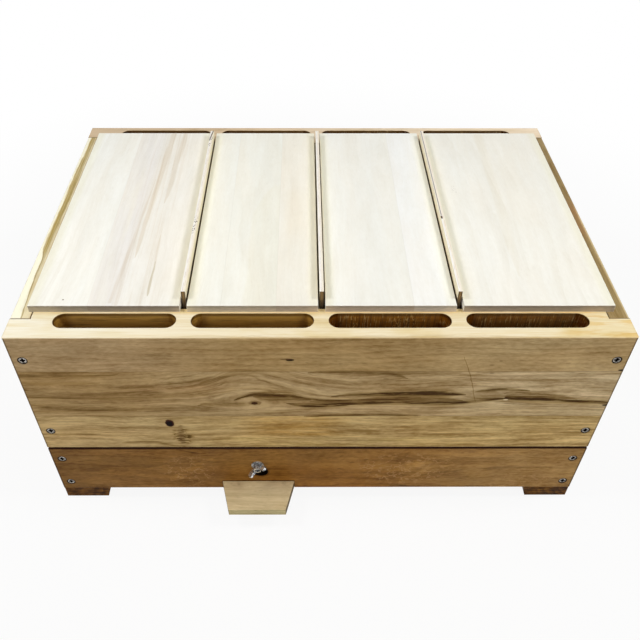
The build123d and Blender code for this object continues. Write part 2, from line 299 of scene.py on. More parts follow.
class Board:
    """A wood material for one CAD node, built up layer by layer. Places and sizes in it are in mm."""

    def __init__(self, name, grain, colour, seed, spread=0.42, streaks=(1,), rings=0.25, ring=6,
                 pith=(60, -110), wander=26, mottle=1, flecks=0.3, hues=1, strips=("z", ()), joint=0.3,
                 warp=None):
        self.material, self.shader, self.tree = new_material(name)
        self.grain = grain
        self.place = position(self.tree)
        self.axes = separate(self.place)
        self.x, self.y, self.z = self.axes
        self.normal = separate(new_node(self.tree, "TexCoord").outputs["Normal"])
        self.low, self.high = ([value / MM for value in corner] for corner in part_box(name))

        axis, edges = strips
        across = self.axes["xyz".index(axis)]
        self.strip = steps(across, edges)
        random = new_node(self.tree, "TexWhiteNoise", noise_dimensions="1D")
        put(random.inputs["W"], add(self.strip, seed) if edges else seed)
        jitter = vector("SUBTRACT", random.outputs["Color"], MIDDLE_NOISE)

        lines = [self.x, self.y, self.z if warp is None else sub(self.z, warp(self))]
        wood = new_node(self.tree, "Group", node_tree=WOOD_GROUP)
        fill(wood, {
            "Position": combine(*(lines[i] for i in AXES[grain])),
            "Seed": vector("MULTIPLY", jitter, (9000, 9000, 9000)),
            "Pith": vector("MULTIPLY_ADD", jitter, (0, 120, 120), (0, *pith)),
            "Ring": ring,
            "Wander": wander,
            "Pale": scaled(colour, 1 + 0.94 * spread, 1 + 1.12 * spread, 1 + 1.5 * spread),
            "Dark": scaled(colour, 1 - spread, 1 - 1.16 * spread, 1 - 1.45 * spread),
            "Rings": add(rings, mul(self.facing(grain.lower()), 0.5)),
            "Streaks": pick(self.strip, streaks),
            "Mottle": mottle,
            "Flecks": flecks,
            "Hues": hues,
        })
        self.colour = wood.outputs["Colour"]
        self.height = wood.outputs["Height"]
        for edge in edges:
            self.darken(ease(size(sub(across, edge)), 0.15, 0.7, joint, 0))

    def noise(self, *look):
        return noise(self.place, *look)

    def wobble(self, *look):
        return wobble(self.place, *look)

    def tint(self, colour, *masks):
        """Multiplies a colour in where all the masks are 1."""
        self.colour = mix(mul(*masks), self.colour, colour, "MULTIPLY")

    def paint(self, colour, *masks):
        """Lays a colour, as srgb takes it, over the wood where all the masks are 1."""
        layer = colour if isinstance(colour, bpy.types.NodeSocket) else srgb(*colour)
        self.colour = mix(mul(*masks), self.colour, layer)

    def darken(self, *masks):
        self.tint((0.17, 0.11, 0.05), *masks)

    def stain(self, *masks):
        """Dark brown mineral streaks, golden where they are thin."""
        mask = mul(*masks)
        self.tint((1, 0.84, 0.4), mask)
        self.paint((52, 27, 1), mask)

    def strip_tints(self, colours, mask=1):
        """Gives each glued strip its own shade."""
        self.tint(choose(self.strip, colours), mask)

    def fade(self, value, low, high, start, end):
        """Goes from one shade to another along the board."""
        shade = ease(value, low, high, start, end)
        self.tint(combine(shade, shade, shade), 1)

    def facing(self, axis):
        """1 on faces that look along the axis, either way."""
        return ease(size(self.normal["xyz".index(axis)]), 0.55, 0.85)

    def facing_up(self):
        return ease(self.normal[2], 0.45, 0.85)

    def facing_front(self):
        return ease(self.normal[1], -0.55, -0.85)

    def end_grain(self, colour, strength=0.75):
        self.tint(colour, self.facing(self.grain.lower()), strength)

    def edge_wear(self, colour, strength, reach):
        """Rubbed edges, broken up by noise."""
        edge = new_node(self.tree, "Group", node_tree=EDGE_GROUP)
        fill(edge, {"Position": self.place, "Low": self.low, "High": self.high})
        breakup = self.noise(7, 3, 0.6)
        self.paint(colour, ease(edge.outputs["Distance"], 0, mul(breakup, reach * 2), strength, 0))

    def oval(self, x, z, wide, high, ragged, size):
        """Distance from a point across X and Z, about 1 at the ragged rim of an oval."""
        across = div(sub(self.x, x), wide / 2)
        up = div(sub(self.z, z), high / 2)
        return add(distance(across, up), self.wobble(size, ragged, 3))

    def line(self, run, across, points, wobble, above=1.3, below=1, full=0.4):
        """A line of figure through points of run, across and half width, full over part of that."""
        middle = curve(run, [(r, a) for r, a, _ in points])
        width = add(curve(run, [(r, w) for r, _, w in points]), 0.05)
        off = add(sub(across, middle), wobble)
        upper = div(off, mul(width, above))
        lower = div(mul(off, -1), mul(width, below))
        inside = mul(over(run, points[0][0]), under(run, points[-1][0]))
        return mul(ease(most(upper, lower), 1.3, full), inside)

    def screw_dirt(self, heights):
        """Painted shade round the corner screws' heads, and in the holes behind them."""
        across = sub(size(self.x), SCREW_X)
        for height in heights:
            radius = distance(across, sub(self.z, height))
            self.paint((44, 32, 24), self.facing("y"), ease(radius, 4.6, 5.6, 0.85, 0))
            behind = under(size(self.y), HALF_DEEP - 0.1)
            self.paint((30, 22, 18), under(radius, 4.9), behind)

    def finish(self, rough=0.46, specular=0.05, relief=0.3):
        """Gives the shader its colour, an uneven polish and the relief of the grain."""
        cloud = self.noise(17, 4, 0.6)
        fill(self.shader, {
            "Base Color": self.colour,
            "Specular IOR Level": specular,
            "Roughness": ease(cloud, 0.25, 0.75, rough - ROUGH_SPREAD, rough + ROUGH_SPREAD),
            "Normal": bump(self.height, relief, GRAIN_DEPTH),
        })
        return self.material


def dress(name, material):
    """Gives a CAD node its material."""
    node = nodes[name]
    node.data.materials.clear()
    node.data.materials.append(material)


# Body planks: yellow-brown boards glued from three strips, their planed top edges paler: bare wood and
# painted light from above

PLANK = srgb(166, 139, 98)
WORN = (206, 182, 138)
SHELL = srgb(250, 238, 208)
END_GRAIN = (0.84, 0.78, 0.7)
FRONT_JOINTS = (155.3, 224.8)

# Dark lines of figure on the front plank: strength, then points of X, Z and half width
FRONT_FIGURE = (
    (0.85, ((-88, 181.4, 0.2), (-83, 184, 1), (-75, 187.4, 1.3), (-69, 189.6, 1.5), (-64, 190.6, 1.7),
            (-57, 190.2, 1.8), (-45, 189.4, 1.8), (-30, 188.2, 1.9), (-20, 185.6, 1.7),
            (-6, 182.6, 1.4), (11, 180.8, 1.3), (34, 180.4, 0.3))),
    (0.62, ((-68, 187, 0.3), (-60, 186, 3), (-46, 184.8, 5.2), (-32, 185, 4.4), (-20, 183.8, 2.6),
            (-8, 182, 0.4))),
    (0.95, ((-34, 175.4, 0.2), (-20, 173.4, 1.4), (-10, 172.4, 2.2), (1, 172.4, 2.3), (16, 173.4, 2.3),
            (42, 175.8, 2.2), (73, 177.2, 2.1), (101, 176.9, 2.2), (125, 176.4, 2.1), (146, 177.4, 1.7),
            (163, 179.6, 1.5), (179, 182.1, 1.2), (190, 184, 0.4))),
    (0.95, ((12, 187, 0.2), (29, 189, 1.1), (42, 189.8, 1.4), (67, 190.7, 2), (92, 191.6, 2.8),
            (113, 191.9, 3.2), (123, 191.5, 3.1), (131, 191.2, 2.6), (141, 190.6, 1.2),
            (150, 189.8, 0.2))),
    (0.65, ((40, 181.4, 0.3), (55, 182.2, 1.2), (86, 182.9, 1.9), (111, 183.4, 2.2), (124, 182.6, 2),
            (137, 181.2, 1), (148, 180, 0.2))),
    (0.4, ((-10, 179, 0.4), (20, 180, 2.6), (50, 182, 3), (80, 184, 2.4), (104, 186, 0.4))),
    (0.8, ((158, 194, 0.2), (167, 195.4, 1), (177, 197, 1.5), (186, 197.9, 1.5), (199, 197, 1),
           (214, 195.4, 0.2))),
    (0.95, ((190, 184.6, 0.9), (196, 184.4, 2.2), (214, 182.8, 2.4), (228, 182.3, 2.4),
            (240, 181.2, 2.1), (267, 179.4, 1.8), (284, 178.5, 1.3), (300, 176.8, 0.9))),
    (0.45, ((188, 191, 0.2), (195, 192.6, 1.2), (210, 191.8, 1.4), (226, 189.8, 1.6), (236, 188.6, 1.6),
            (256, 184.6, 0.8), (266, 182.4, 0.2))),
    (0.55, ((-12, 223.4, 0.3), (12, 224.2, 1.2), (45, 223.8, 1.5), (64, 222.6, 1.3), (78, 218.6, 1),
            (88, 214, 0.2))),
    (0.7, ((-16, 155, 0.2), (-4, 155.4, 0.9), (25, 157, 1.1), (64, 156.9, 1.1), (89, 155.9, 0.9),
           (108, 154.8, 0.2))),
    (0.3, ((-298, 185.9, 1.2), (-246, 183.9, 1.5), (-184, 184.9, 1.5), (-158, 187, 1.4),
           (-132, 188.4, 1.3), (-106, 191.9, 1.1), (-84, 197, 0.2))),
    (0.28, ((-298, 173.7, 1.2), (-270, 168.7, 1.8), (-229, 165.6, 1.6), (-174, 166.9, 1.2),
            (-140, 168.4, 0.2))),
    (0.42, ((-299, 218.7, 2.2), (-268, 218.7, 2.6), (-231, 218.4, 1.8), (-200, 220.4, 0.3))),
    (0.3, ((-299, 208, 1.8), (-262, 207, 1.6), (-220, 208.4, 0.3))),
    (0.26, ((-158, 204.9, 0.2), (-130, 210.2, 0.8), (-102, 215, 1), (-84, 220, 1.1), (-76, 220.6, 1.1),
            (-60, 213, 1.1), (-37, 201.6, 1.2), (-12, 193.2, 1.2), (8, 187.4, 0.6), (20, 185, 0.2))),
    (0.26, ((-173, 188, 0.2), (-130, 193.6, 0.9), (-96, 198.9, 1), (-70, 199.9, 1.2), (-45, 195.9, 1.2),
            (-24, 190.8, 0.3))),
    (0.2, ((-150, 200, 0.2), (-110, 206, 0.9), (-84, 209.4, 1), (-62, 206, 1), (-40, 198.6, 0.8),
           (-22, 194, 0.2))),
    (0.5, ((-126, 172.6, 0.3), (-112, 175.2, 1.8), (-92, 175, 2.4), (-78, 174.6, 2), (-70, 174.2, 0.3))),
    (0.3, ((-298, 163, 0.6), (-271, 163.8, 1.1), (-229, 165.4, 1), (-190, 164.4, 0.2))),
    (0.45, ((-216, 109, 0.2), (-205, 109.8, 1.1), (-187, 110.4, 1.5), (-166, 106, 1),
            (-154, 103.6, 0.2))),
    (0.42, ((-298, 124.6, 0.8), (-259, 123.6, 0.8), (-236, 123.4, 0.1))),
)
# Pale fringes beside them
FRONT_FRINGES = (
    (0.6, ((56, 187, 0.3), (86, 187.4, 1.2), (111, 187.2, 1.6), (126, 186.6, 1.5), (142, 185.8, 0.3))),
    (0.45, ((-4, 168.4, 0.3), (60, 173.4, 1.2), (101, 172.8, 1.5), (125, 172.2, 1.5), (160, 175.4, 1.2),
            (188, 180, 0.4))),
    (0.7, ((196, 180.4, 0.5), (214, 178.8, 1.4), (240, 177, 1.6), (276, 174.8, 1.4), (296, 173, 0.3))),
    (0.4, ((-150, 214, 0.3), (-110, 219, 1.4), (-60, 222, 1.6), (-10, 219, 1.4), (30, 218, 0.3))),
    (0.4, ((-300, 160, 0.6), (-230, 159.4, 1.6), (-120, 160, 1.5), (-60, 162.6, 1.2), (-20, 164.4, 0.3))),
)
# A crack through points of Z, X and half width
FRONT_CRACK = ((178, 161.4, 0.2), (188.8, 158, 0.35), (207.5, 153, 0.45), (222.5, 148, 0.45),
               (246, 139, 0.2))


def knot_warp(board):
    """Pushes the grain up over the knot in the front plank's middle strip, and down a little under it."""
    x, _, z = board.axes
    low, high = FRONT_JOINTS
    reach = curve(x, ((-200, 0), (-150, 0.12), (-110, 0.55), (-83, 0.95), (-70, 1), (-50, 0.85),
                      (-20, 0.5), (20, 0.2), (80, 0)))
    rise = curve(z, ((low, 0), (162, -3), (168, -5), (174, -2), (178, 2), (186, 9), (204, 17),
                     (high, 24)))
    return mul(reach, rise, over(z, low), under(z, high))


def pale_top(board, pale, late, strength=0.95):
    """A planed top edge in its own colour, paler than the oiled faces on most boards: partly the bare
    wood, partly painted light from above.
    """
    fine = (110, 5.5, 20) if board.grain == "X" else (5.5, 110, 20)
    wide = (70, 22, 20) if board.grain == "X" else (22, 70, 20)
    grain = ease(board.noise(fine, 4, 0.6), 0.4, 0.72)
    cloud = ease(board.noise(wide, 3, 0.6), 0.4, 0.75)
    # Painted light: the top faces get a paler colour of their own
    board.paint(mix(most(mul(grain, 0.8), cloud), pale, late), board.facing_up(), strength)


def plank_pockets(board, middle, pale, dark):
    """Raw milled wood inside the feeder pockets, furry on the right, with scorched ends, painted shade
    under the rims and painted shade deepening towards the bottoms.
    """
    x, y, z = board.axes
    inside = mul(
        ease(size(sub(y, middle)), 10.3, 9.9),
        ease(z, 271.9, 271.1),
        ease(z, 190, 191),
        under(size(x), 266),
    )
    right = ease(x, -2, 4)
    grain = board.noise((30, 30, 2.2), 3, 0.6)
    saw = board.noise((1.3, 1.3, 40))
    fur = ease(board.noise((0.8, 0.8, 11)), 0.55, 0.66)
    tuft = ease(board.noise((13, 13, 8), 3, 0.6), 0.42, 0.62, 0.1, 1)
    torn = most(between(x, 70, 96, 6), between(x, 29, 38, 3))
    splinters = ease(board.noise((1.2, 1.2, 5)), 0.59, 0.65)
    along = sub(size(sub(wrap(add(x, 265), 133), 66.5)), 44)
    scorch = mul(ease(along, -4, 10), ease(board.noise((9, 9, 12), 3), 0.2, 0.7))
    colour = mix(right, pale, dark)
    for mask, layer in (
        (ease(x, 130, 138, 0, 0.4), srgb(92, 48, 10)),
        (ease(grain, 0.45, 0.7, 0, 0.45), srgb(96, 62, 18)),
        (mul(right, ease(saw, 0.48, 0.64, 0, 0.55)), srgb(66, 38, 8)),
        (mul(fur, tuft, add(0.08, mul(right, 0.72))), srgb(246, 206, 132)),
        (mul(torn, splinters, 0.85), srgb(240, 190, 104)),
        (mul(scorch, 0.8), srgb(84, 36, 14)),
        # painted shade under the pocket's rim, then painted shade deepening towards its bottom
        (mul(ease(z, 266.5, 269.5), 0.75), srgb(62, 36, 10)),
        (ease(z, 246, 232, 0, 0.75), srgb(40, 20, 6)),
    ):
        colour = mix(mask, colour, layer)
    board.paint(colour, inside)


def corner_joints(board):
    """Dark glue lines where the side walls are let into the planks."""
    x, y, _ = board.axes
    lip = sub(HALF_DEEP, size(y))
    into = sub(size(x), 280)
    along_lip = mul(ease(size(sub(lip, 26.5)), 0.8, 0.3), over(into, -0.6))
    along_end = mul(ease(size(into), 0.8, 0.3), over(lip, 26))
    board.paint((52, 38, 20), most(along_lip, along_end), board.facing_up(), 0.85)


def wear_body(board):
    corner_joints(board)
    board.end_grain(END_GRAIN)
    board.edge_wear(WORN, 0.3, 1.6)


def front_plank():
    board = Board(
        "front_plank", "X", PLANK, 3, streaks=(1.7, 1.6, 0.3), mottle=1.3, strips=("z", FRONT_JOINTS),
        warp=knot_warp,
    )
    x, y, z = board.axes
    board.strip_tints([(1.26, 1.26, 1.06), (1.12, 1.13, 1.1), (1.08, 1.03, 0.87)])
    board.strip_tints([(0.94, 0.94, 0.99), (0.82, 0.76, 0.65), (1.02, 1.06, 1.28)], ease(x, -60, -220))
    board.strip_tints([(1.13, 1.15, 1.15), (1.12, 1.18, 1.27), (1.12, 1.2, 1.37)], ease(x, 60, 220))
    cloud = board.noise((60, 10, 6), 3)
    for hue, in_x, in_z, thin in (
        ((1, 0.86, 0.58), (-70, 20, 26), (121, 154, 3), (0.2, 0.7)),
        ((1.12, 1.16, 1.08), (-110, 160, 40), (102, 120, 4), (0.35, 0.65)),
        ((1.14, 1.1, 1.12), (-190, -100, 20), (196, 208, 5), (0.3, 0.6)),
    ):
        board.tint(hue, between(x, *in_x), between(z, *in_z), ease(cloud, *thin))

    front = board.facing_front()
    wobble = board.wobble((42, 42, 6), 4, 4, 0.6)
    fibres = ease(board.noise((80, 80, 1.2), 4, 0.65), 0.36, 0.58, 0.3, 1)
    faint = ease(board.noise((26, 26, 3), 3, 0.6), 0.3, 0.55, 0.45, 1)
    paler = mul(ease(x, 120, 190), between(z, 184, 224.5, 4))
    board.tint((1.08, 1.1, 1.18), paler)
    for strength, points in FRONT_FRINGES:
        fringe = board.line(x, z, points, wobble, 1.6, 1.6)
        board.paint((206, 178, 126), fringe, fibres, front, strength)
    for strength, points in FRONT_FIGURE:
        core = board.line(x, z, points, wobble, 1, 1, 0.8)
        halo = board.line(x, z, points, wobble, 2.9, 2.3)
        mask = most(mul(core, faint), mul(halo, fibres, 0.6))
        board.stain(mask, front, strength)
    crack = board.line(z, x, FRONT_CRACK, mul(wobble, 0.6), 1, 1)
    board.stain(crack, front, 0.45)
    # Painted shade along the plank's ends, on the faces beside them
    rim = mul(ease(size(x), 297.4, 298.8), sub(1, board.facing("x")))
    board.paint((58, 42, 20), rim, sub(1, board.facing_up()), 0.75)

    def mark(x, z, wide, high, colour, strength=1, ragged=0.5, soft=0.25, size=3):
        spot = board.oval(x, z, wide, high, ragged, size)
        board.paint(colour, ease(spot, 1 - soft, 1 + soft, strength, 0), front)

    mark(-62, 174.8, 26, 9.5, (196, 168, 118), 0.55, 0.8, 0.4)
    mark(-66.4, 176.8, 13, 7.4, (116, 84, 40), 0.75, 0.6, 0.25)
    mark(-67, 176.4, 6.8, 4.2, (60, 32, 8), 1, 0.5, 0.2)
    mark(-160, 140, 18, 20, (176, 146, 98), 0.35, 0.8, 0.4)
    mark(-158.8, 143.3, 9.4, 12.4, (60, 22, 12), 1, 0.45, 0.16)
    mark(-159, 142.6, 6.6, 8.6, (12, 2, 1), 1, 0.5, 0.25)
    scar = ease(board.oval(-147, 120, 27, 42, 0.9, 8), 1.05, 0.5)
    flecks = board.noise((9, 9, 2.6), 3, 0.6)
    board.stain(scar, ease(flecks, 0.46, 0.62, 0.08, 0.85), front)
    mark(-148.6, 121, 7, 30, (92, 62, 28), 0.5, 1.1, 0.6, 5)
    mark(-29.6, 241.6, 8.2, 3, (34, 16, 10), 1, 0.5, 0.15)
    mark(-33.5, 242.8, 11, 2, (86, 58, 32), 0.7)
    mark(192, 181.6, 4.6, 2, (236, 214, 172), 0.85, 0.5)
    for spot in ((298, 226.5), (297.5, 172.7)):
        mark(*spot, 7.5, 2.6, (30, 18, 10), 0.95, 0.6, 0.2)
    for spot in ((168, 234.2, 5), (176, 239.9, 4), (170, 222.5, 5), (66, 214, 6), (20, 236, 5)):
        mark(*spot, 1.4, (108, 82, 48), 0.6, 0.8)

    pale_top(board, SHELL, srgb(238, 218, 168), 0.97)
    up = board.facing_up()
    board.tint((1.03, 1.08, 1.2), up, ease(x, -140, -230))
    patch = ease(board.noise((46, 7, 9), 4, 0.6), 0.42, 0.62)
    thin = ease(board.noise((60, 1.6, 9), 4, 0.65), 0.5, 0.64)
    board.tint((0.86, 0.77, 0.6), up, thin, ease(x, -200, 60, 0.3, 0.55))
    board.tint((0.92, 0.78, 0.52), up, ease(x, 190, 290), patch)
    board.tint((0.97, 0.95, 0.87), up, ease(x, 200, 270))
    middle = mul(between(x, -20, 170, 40), ease(y, -188, -178), patch)
    board.tint((0.86, 0.78, 0.6), up, middle, 0.5)
    creep = mul(between(x, -120, 250, 60), ease(y, add(-197.5, mul(patch, 4)), -199.8))
    board.tint((0.74, 0.66, 0.52), up, creep, 0.85)
    # Painted shade from the covers, with a browner tone of the wood, along the top next to them
    board.tint((0.9, 0.82, 0.66), up, ease(y, -169.5, -165))
    wear_body(board)
    plank_pockets(board, -176, srgb(214, 164, 74), srgb(172, 108, 22))
    board.screw_dirt(PLANK_SCREW_HEIGHTS)
    return board.finish()


def rear_plank():
    board = Board(
        "rear_plank", "X", PLANK, 11, streaks=(1.3, 1.5, 0.8), mottle=1.2, strips=("z", (148, 214)),
    )
    x = board.x
    board.strip_tints([(1.12, 1.1, 0.98), (1.18, 1.15, 1.02), (1.06, 1.03, 0.93)])
    pale_top(board, srgb(236, 218, 192), srgb(208, 186, 152))
    board.fade(x, -260, 260, 0.82, 1.22)
    board.tint((1.05, 0.965, 0.86), board.facing_up(), ease(x, 80, -100))
    wear_body(board)
    plank_pockets(board, 182.5, srgb(130, 90, 38), srgb(112, 74, 30))
    board.screw_dirt(PLANK_SCREW_HEIGHTS)
    return board.finish()


def side_wall(name, seed):
    board = Board(
        name, "Y", PLANK, seed, streaks=(1.3, 1.5, 1), mottle=1.2, strips=("z", (162, 221)),
        pith=(40, -100),
    )
    board.strip_tints([(1.15, 1.11, 0.97), (1.07, 1.05, 0.93), (1.17, 1.14, 1)])
    return board


def left_wall():
    """The left wall's top is pale outside, with an uneven olive band that dies out towards the front."""
    board = side_wall("left_wall", 5)
    x, y, _ = board.axes
    pale_top(board, srgb(238, 224, 184), srgb(216, 194, 146))
    up = board.facing_up()
    uneven = board.wobble((6, 26, 6), 4, 3)
    pale_edge = curve(y, ((-170, -290), (-119, -292.4), (-84, -293.7), (-47, -297.4), (7, -296.5),
                          (61, -297), (150, -296)))
    from_pale = sub(x, add(pale_edge, uneven))
    band = mul(ease(from_pale, -0.4, 1.4), ease(add(x, uneven), -289.6, -291.6))
    streaky = ease(board.noise((1.6, 60, 6), 4, 0.6), 0.3, 0.6, 0.35, 1)
    board.paint((172, 148, 86), up, band, streaky, ease(y, -116, -56))
    board.paint((250, 244, 216), up, ease(from_pale, 0.4, -0.8))
    # Painted shadow of the proud cover on the wall's top, beside its edge
    inner = mul(between(add(x, mul(uneven, 0.5)), -289, -286.6, 0.6), streaky)
    board.paint((158, 118, 66), up, inner, ease(y, -120, -40), 0.55)
    line = mul(ease(size(sub(from_pale, 0.8)), 0.9, 0.3), ease(y, -40, -80))
    board.stain(up, line, 0.4)
    board.tint((1.04, 1.06, 1.1), up)
    wear_body(board)
    return board.finish()


def right_wall():
    """The right wall's top is olive brown, with a redder stretch and a thin pale outer edge."""
    board = side_wall("right_wall", 8)
    x, y, _ = board.axes
    pale_top(board, srgb(174, 152, 108), srgb(146, 120, 76))
    up = board.facing_up()
    streaky = ease(board.noise((1.8, 50, 6), 4, 0.65), 0.4, 0.64)
    board.tint((0.8, 0.78, 0.66), up, streaky)
    red = mul(between(y, -42, 22, 18), board.noise((9, 30, 9), 3))
    board.paint((174, 124, 84), up, red, 0.9)
    rim = mul(ease(x, 297, 298.6), ease(y, 30, -10))
    board.paint((226, 206, 158), up, rim, 0.7)
    wear_body(board)
    return board.finish()


# Covers: pale glued boards, each with its own faint figure, and greyish sawn ends

COVER = srgb(248, 246, 237)
LILAC = (0.955, 0.95, 0.975)
TAN = (0.85, 0.79, 0.71)
DARK_TAN = (0.66, 0.6, 0.46)


def cover(number, seed, joints, tints, streaks=0.5):
    board = Board(
        f"cover_{number}", "Y", COVER, seed, spread=0.06, streaks=(streaks,) * (len(joints) + 1),
        rings=0.35, ring=11, pith=(20, -70), wander=50, flecks=0.06, hues=0.35, strips=("x", joints),
        joint=0.05,
    )
    board.strip_tints(tints)
    return board


def cover_line(board, strength, colour, points, above=1.6, below=1.6):
    """A soft line of figure along a cover, through points of Y, X and half width."""
    wobble = board.wobble((9, 60, 9), 5, 3)
    board.tint(colour, board.line(board.y, board.x, points, wobble, above, below), strength)


def finish_cover(board, ends):
    """Sawn end grain, its shade changing from one glued strip to the next."""
    x, _, z = board.axes
    saw = board.noise((6, 40, 1.4), 3)
    end = mix(ease(saw, 0.25, 0.75), (0.86, 0.86, 0.86), (1.1, 1.1, 1.1))
    end = mix(1, choose(board.strip, ends), end, "MULTIPLY")
    end = mix(ease(z, 275.5, 279, 0, 0.6), end, (0.5, 0.5, 0.48), "MULTIPLY")
    board.paint(end, board.facing("y"), 0.96)
    low = ease(z, 272.2, 273.2, 0.35, 0)
    board.darken(low, sub(1, board.facing_up()))
    # Painted shade: a warm, slightly darker band along each cover's long sides, beside the dividers
    from_edge = least(sub(x, board.low[0]), sub(board.high[0], x))
    board.tint((0.985, 0.98, 0.91), board.facing_up(), ease(from_edge, 13, 4))
    board.edge_wear((250, 246, 236), 0.35, 0.9)
    return board.finish(0.62, BARE_SHINE, 0.18)


def cover_1():
    board = cover(1, 21, (-226,), [(1, 1, 0.99), (0.975, 0.955, 0.935)], 0.8)
    x, y, _ = board.axes
    streaky = board.noise((3.4, 260, 20), 4, 0.6)
    grey = mul(between(x, -224, -196, 8), ease(board.noise((16, 160, 20), 3), 0.35, 0.6))
    board.tint(LILAC, grey)
    brown = mul(between(x, -206, -164, 12), ease(streaky, 0.46, 0.7))
    board.tint(TAN, brown, 0.6)
    for strength, colour, points in (
        (0.8, TAN, ((-90, -192, 0.2), (-58, -191, 1.4), (39, -189, 2), (100, -187.5, 2.4),
                    (170, -185, 2.6))),
        (0.6, TAN, ((10, -175, 0.2), (39, -173.5, 1.4), (100, -172, 2), (170, -170, 2.2))),
        (0.55, TAN, ((-150, -169, 0.2), (-129, -169.4, 0.9), (-75, -170.4, 0.9), (-50, -171, 0.2))),
        (0.5, DARK_TAN, ((-150, -169, 0.2), (-138, -169.2, 1), (-122, -169.6, 0.8), (-96, -170, 0.2))),
        (0.5, TAN, ((-160, -204, 1.4), (-80, -200, 1.4), (-4, -196, 1), (60, -193, 0.2))),
    ):
        cover_line(board, strength, colour, points)
    dot = distance(add(x, 251), add(y, 155))
    board.darken(ease(dot, 0.5, 1.3, 0.85, 0), board.facing_up())
    return finish_cover(board, [srgb(176, 163, 140), srgb(166, 151, 130)])


def cover_2():
    board = cover(2, 34, (-97, -43), [(1, 1, 0.975), (0.995, 0.995, 0.965), (0.985, 0.96, 0.915)])
    x, y, _ = board.axes
    tongue_edge = curve(y, ((-164, -77), (-106, -74), (-32, -74), (13, -66), (48, -51)))
    tongue = mul(ease(sub(x, tongue_edge), -1.5, 2.5), ease(y, 52, 40))
    board.tint((0.975, 0.965, 0.93), tongue, under(x, -43), 0.8)
    pink = mul(between(x, -36, -14, 8), between(y, -50, 40, 30))
    board.tint((1, 0.975, 0.94), pink)
    return finish_cover(board, [srgb(200, 186, 160), srgb(206, 190, 164), srgb(196, 178, 154)])


def cover_3():
    board = cover(3, 47, (91.5,), [(0.985, 0.985, 0.975), (1.01, 1.02, 1.05)])
    return finish_cover(board, [srgb(196, 176, 152), srgb(208, 194, 174)])


def cover_4():
    board = cover(4, 52, (), [(0.985, 0.98, 0.965)])
    x, y, _ = board.axes
    points = ((-120, 202, 0.3), (-62, 203, 2.5), (52, 207, 3), (168, 209, 3))
    cover_line(board, 0.7, (0.96, 0.945, 0.91), points, 3, 1)
    board.tint((1, 0.995, 0.985), ease(x, 200, 216))
    dots = board.noise(1.1, 1)
    near = mul(between(x, 158.5, 163.5, 1), between(y, 32, 46, 2))
    board.darken(near, ease(dots, 0.62, 0.7, 0, 0.8), board.facing_up())
    return finish_cover(board, [srgb(174, 156, 132)])


# Plywood: thin veneers, pale faces and striped edges

def plywood(name, across, seed, grain="Y"):
    board = Board(
        name, grain, srgb(222, 200, 160), seed, spread=0.16, rings=0.3, ring=8, pith=(0, -200), wander=70,
    )
    index = "xyz".index(across)
    low, high = board.low[index], board.high[index]
    depth = div(sub(board.axes[index], low), high - low)
    middle_ply = between(depth, 0.36, 0.64, 0.05)
    edge_on = sub(1, board.facing(across))
    board.tint((0.62, 0.5, 0.36), edge_on, middle_ply, 0.7)
    torn = board.noise(2, 3)
    board.tint((0.78, 0.68, 0.56), edge_on, ease(torn, 0.55, 0.75))
    return board


def divider(name, middle, seed, pale_side=False):
    """A divider with a pale top edge, painted light on its sides above the covers, brown ends with
    painted shade lower down, and a ragged dark line of painted shade where the covers meet it.
    """
    board = plywood(f"{name}_divider", "x", seed)
    x, _, z = board.axes
    up = board.facing_up()
    off = sub(x, middle)
    board.paint(mix(ease(off, -0.6, 0.6), srgb(255, 252, 246), srgb(252, 244, 226)), up, 0.92)
    # Painted light: the side faces above the covers are made paler
    board.paint((255, 246, 216), board.facing("x"), ease(z, 280.4, 281.2), 0.9)
    dashes = ease(board.noise((1.5, 9, 4), 3, 0.6), 0.42, 0.6)
    for place, strength in ((-0.6, 0.35), (0.9, 0.25)):
        ply = ease(size(sub(off, place)), 0.1, 0.45, strength, 0)
        board.tint(srgb(170, 128, 92), up, ply, dashes)
    # Painted shade in the gap beside each cover: the side face darkens below the covers' top, with a
    # ragged near-black line
    shade_edge_noise = board.noise((8, 9, 30), 4, 0.65)
    edge = sub(277.2, mul(shade_edge_noise, 5))
    side = mul(board.facing("x"), ease(z, 280.4, 278.8))
    if pale_side:
        side = mul(side, under(off, 0))
    board.tint((0.62, 0.5, 0.34), side, ease(z, sub(edge, 9), edge, 0, 0.8))
    board.paint((24, 16, 9), side, ease(sub(z, edge), -0.8, 0.8), 0.95)
    fibres = board.noise((1, 4, 12), 3)
    end = mix(fibres, srgb(104, 78, 44), srgb(150, 120, 74))
    end = mix(ease(size(off), 0.5, 1.3, 0, 0.75), end, srgb(66, 46, 24))
    # painted shade lower down the end, between the covers
    end = mix(ease(z, 284, 274, 0, 0.9), end, srgb(34, 22, 12))
    board.paint(end, board.facing("y"), 0.9)
    return board


TORN = (56, 42, 26)


def left_divider():
    board = divider("left", -133.2, 60)
    x, y, _ = board.axes
    up = board.facing_up()
    chips = board.noise((1.2, 2.4, 1.2))
    for low, high in ((-60, -30), (118, 156)):
        chipped = mul(between(y, low, high, 3), ease(chips, 0.56, 0.64), up)
        board.paint(TORN, chipped, 0.9)
    slant = size(sub(x, ease(y, 132, 166, -134.6, -131.6)))
    torn = mul(ease(slant, 0.9, 0.4), between(y, 134, 164, 2), up)
    board.paint(TORN, torn, 0.85)
    return board.finish(0.62, BARE_SHINE)


def centre_divider():
    return divider("centre", 1.6, 61, pale_side=True).finish(0.62, BARE_SHINE)


def right_divider():
    board = divider("right", 136.4, 62)
    x, y, _ = board.axes
    split = mul(between(y, -34, -29, 1), ease(x, 136.8, 135.8))
    crack = mul(ease(y, -30, -26), ease(size(sub(x, 135.4)), 0.7, 0.25))
    board.paint((72, 44, 10), board.facing_up(), most(split, mul(crack, 0.75)))
    return board.finish(0.62, BARE_SHINE)


# Base tray: redder oiled wood

BASE = srgb(140, 99, 47)
